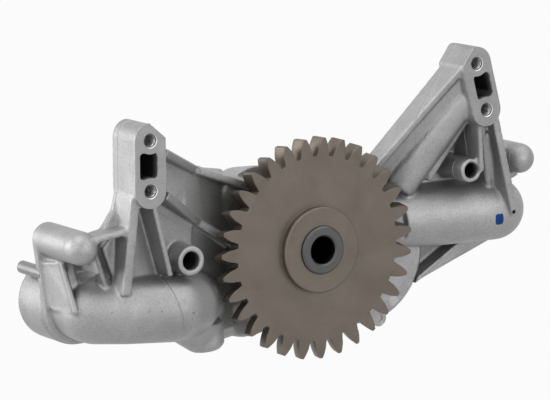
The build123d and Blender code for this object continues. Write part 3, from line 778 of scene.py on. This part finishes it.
def grid_mesh(name, rows):
    """A mesh through rows of points; each row goes round."""
    points = [p for row in rows for p in row]
    width = len(rows[0])
    faces = []
    for i in range(len(rows) - 1):
        for j in range(width):
            k = (j + 1) % width
            faces.append((i * width + j, i * width + k, (i + 1) * width + k, (i + 1) * width + j))
    mesh = bpy.data.meshes.new(name)
    mesh.from_pydata(points, [], faces)
    mesh.update()
    return mesh


def thread_mesh(place, radius):
    """The thread inside a foot hole, from its chamfered mouth to the drilled floor."""
    rows = []
    steps = int(thread_length / thread_pitch * thread_rows_per_turn)
    for i in range(steps + 1):
        y = thread_length * i / steps
        row = []
        for j in range(thread_around):
            turn = j / thread_around
            wave = abs(((y / thread_pitch + turn) % 1.0) * 2 - 1)
            r = max(radius - thread_depth * wave, radius + thread_mouth - y)
            a = 2 * math.pi * turn
            row.append((place.x + r * math.cos(a), y, place.z + r * math.sin(a)))
        rows.append(row)
    return grid_mesh("thread", rows)


# Places that the looks share
cad_low, cad_high = (Vector(v) for v in cad_box)
hole_radius = mount_size("left_foot_bolts", "hole_r_mm")
hole_places = []
for side, name in ((-1, "left_foot_bolts"), (1, "right_foot_bolts")):
    lean = math.radians(foot_lean_deg) * side
    half = mount_size(name, "pcd_mm") / 2
    for end in (-1, 1):
        offset = Vector((-math.sin(lean), 0, math.cos(lean))) * half * end
        hole_places.append(mount_place(name) + offset)
machined_bores = [port_bore(name) for name in ("suction_port", "delivery_port")]
delivery_face_y = machined_bores[1][-1]
machined_planes = [0.0, cad_high.y, delivery_face_y]
driven_axis = centre_of("driven_shaft")
valve_axis = centre_of("relief_plug")
pin_axis = centre_of("locating_pin")
drive = (0, 0)
driven = (driven_axis.x, driven_axis.z)
valve = (valve_axis.x, valve_axis.z)
pin = (pin_axis.x, pin_axis.z)

camera_side, camera_top, camera_look = place_camera()

housing_look = cast_aluminium("cast_housing", grey(casting_light), grey(casting_dark), marked=True)
cover_look = cast_aluminium("cast_cover", grey(cover_light), grey(casting_dark))
gear_look = gear_steel("gear_steel")

cast_housing()
bevelled_copy("front_cover", "cover_plate", cover_edge, cover_look, "housing")
bevelled_copy("drive_gear", "gear_teeth_and_hub", gear_edge, gear_look, "drive_train")

for i, place in enumerate(hole_places):
    thread_look = cut_thread("cut_thread_%d" % i, place.x, place.z, hole_radius)
    piece = add_object("foot_thread_%d" % i, thread_mesh(place, hole_radius), thread_look,
                       "housing")
    smooth_by_angle(piece.data, crisp_thread_deg)

# Where the painted shade in the drive shaft's bore begins
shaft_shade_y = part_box("drive_shaft")[0][1] + shaft_unshaded_depth
# Node, material, axis of its turning rings, shade, roughness and warmth
steel_looks = (
    ("cover_bolts", "zinc_plate", drive, 0.34, 0.34, 0.02),
    ("cover_dowels", "ground_dowel", drive, 0.326, 0.36, 0.0),
    ("drive_shaft", "ground_shaft", drive, 0.102, 0.42, 0.0, (shaft_bore_r, shaft_shade_y)),
    ("thrust_washer", "bronze_washer", drive, 0.204, 0.36, 0.10),
    ("rotor_key", "key_steel", drive, 0.238, 0.36, 0.0),
    ("drive_rotor", "drive_rotor_steel", drive, 0.245, 0.36, 0.0),
    ("driven_rotor", "driven_rotor_steel", driven, 0.245, 0.36, 0.0),
    ("driven_shaft", "driven_shaft_steel", driven, 0.286, 0.36, 0.0),
    ("drive_front_bush", "bronze_front", drive, 0.218, 0.36, 0.12),
    ("drive_rear_bush", "bronze_rear", drive, 0.218, 0.36, 0.12),
    ("driven_front_bush", "bronze_driven_front", driven, 0.218, 0.36, 0.12),
    ("driven_rear_bush", "bronze_driven_rear", driven, 0.218, 0.36, 0.12),
    ("rear_bore_plugs", "plug_steel", drive, 0.34, 0.36, 0.015),
    ("relief_plunger", "plunger_steel", valve, 0.34, 0.25, 0.0),
    ("relief_spring", "spring_steel", valve, 0.136, 0.40, 0.0),
    ("relief_plug", "relief_plug_steel", valve, 0.34, 0.34, 0.02),
    ("locating_pin", "pin_steel", pin, 0.245, 0.38, 0.0),
)
node_looks = {node: turned_steel(*look) for node, *look in steel_looks}
node_looks["suction_seal"] = seal_rubber("suction_rubber")
node_looks["delivery_seal"] = seal_rubber("delivery_rubber")
for node, look in node_looks.items():
    for slot in nodes[node].material_slots:
        slot.material = look


# Floor, backdrop and light

def background_rays(tree):
    """1 for the rays that see the background: the camera's, and those off metal or through glass."""
    path = tree.nodes.new("ShaderNodeLightPath")
    shown = path.outputs["Is Camera Ray"]
    for kind in ("Is Glossy Ray", "Is Transmission Ray"):
        either = tree.nodes.new("ShaderNodeMath")
        either.operation = "MAXIMUM"
        tree.links.new(shown, either.inputs[0])
        tree.links.new(path.outputs[kind], either.inputs[1])
        shown = either.outputs["Value"]
    return shown


def white_stage():
    """A pale floor under the lowest tooth, white to the background's rays but for a faint shadow."""
    mesh = bpy.data.meshes.new("floor")
    z = cad_low.z - floor_gap
    corners = [(x * floor_half, y * floor_half, z) for x, y in ((-1, -1), (1, -1), (1, 1), (-1, 1))]
    mesh.from_pydata(corners, [], [(0, 1, 2, 3)])
    floor = bpy.data.objects.new("floor", mesh)
    scene.collection.objects.link(floor)
    s = Shader("pale_floor")
    s.bsdf.inputs["Base Color"].default_value = grey(floor_grey)
    s.bsdf.inputs["Roughness"].default_value = 0.9
    glow = s.node("ShaderNodeEmission")
    glow.inputs["Color"].default_value = grey(1.0)
    glow.inputs["Strength"].default_value = 1.0
    seen = s.maths("MULTIPLY", background_rays(s.tree), floor_white)
    blend = s.node("ShaderNodeMixShader")
    s.put(blend.inputs[0], seen)
    s.put(blend.inputs[1], s.bsdf.outputs[0])
    s.put(blend.inputs[2], glow.outputs[0])
    s.put(s.tree.nodes["Material Output"].inputs["Surface"], blend.outputs[0])
    mesh.materials.append(s.material)


def world_light():
    """White to the background's rays. Its light is even, but for a dimmer patch behind and above."""
    world = bpy.data.worlds.new("studio")
    world.use_nodes = True
    tree = world.node_tree
    back = tree.nodes["Background"]
    back.inputs["Color"].default_value = grey(1.0)
    towards = tree.nodes.new("ShaderNodeVectorMath")
    towards.operation = "DOT_PRODUCT"
    tree.links.new(tree.nodes.new("ShaderNodeTexCoord").outputs["Generated"], towards.inputs[0])
    towards.inputs[1].default_value = Vector(world_dim_towards).normalized()
    patch = tree.nodes.new("ShaderNodeMapRange")
    patch.interpolation_type = "SMOOTHSTEP"
    patch.inputs["From Min"].default_value, patch.inputs["From Max"].default_value = world_dim_cosines
    patch.inputs["To Min"].default_value = world_strength
    patch.inputs["To Max"].default_value = world_dimmed
    tree.links.new(towards.outputs["Value"], patch.inputs["Value"])
    amount = tree.nodes.new("ShaderNodeMapRange")
    amount.inputs["To Max"].default_value = 1.0
    tree.links.new(patch.outputs["Result"], amount.inputs["To Min"])
    tree.links.new(background_rays(tree), amount.inputs["Value"])
    tree.links.new(amount.outputs["Result"], back.inputs["Strength"])
    scene.world = world


def soft_light(name, direction, distance, size, watts):
    """A square soft box that looks at the pump from a direction."""
    data = bpy.data.lights.new(name, "AREA")
    data.shape = "SQUARE"
    data.size = size
    data.energy = watts
    lamp = bpy.data.objects.new(name, data)
    aim = Vector(lamp_aim)
    away = Vector(direction).normalized()
    lamp.location = aim + away * distance
    lamp.rotation_euler = away.to_track_quat("Z", "Y").to_euler()
    scene.collection.objects.link(lamp)


white_stage()
world_light()
for name, (right, up, ahead), distance, size, watts in lamps:
    direction = camera_side * right + camera_top * up + camera_look * ahead
    soft_light(name, direction, distance, size, watts)
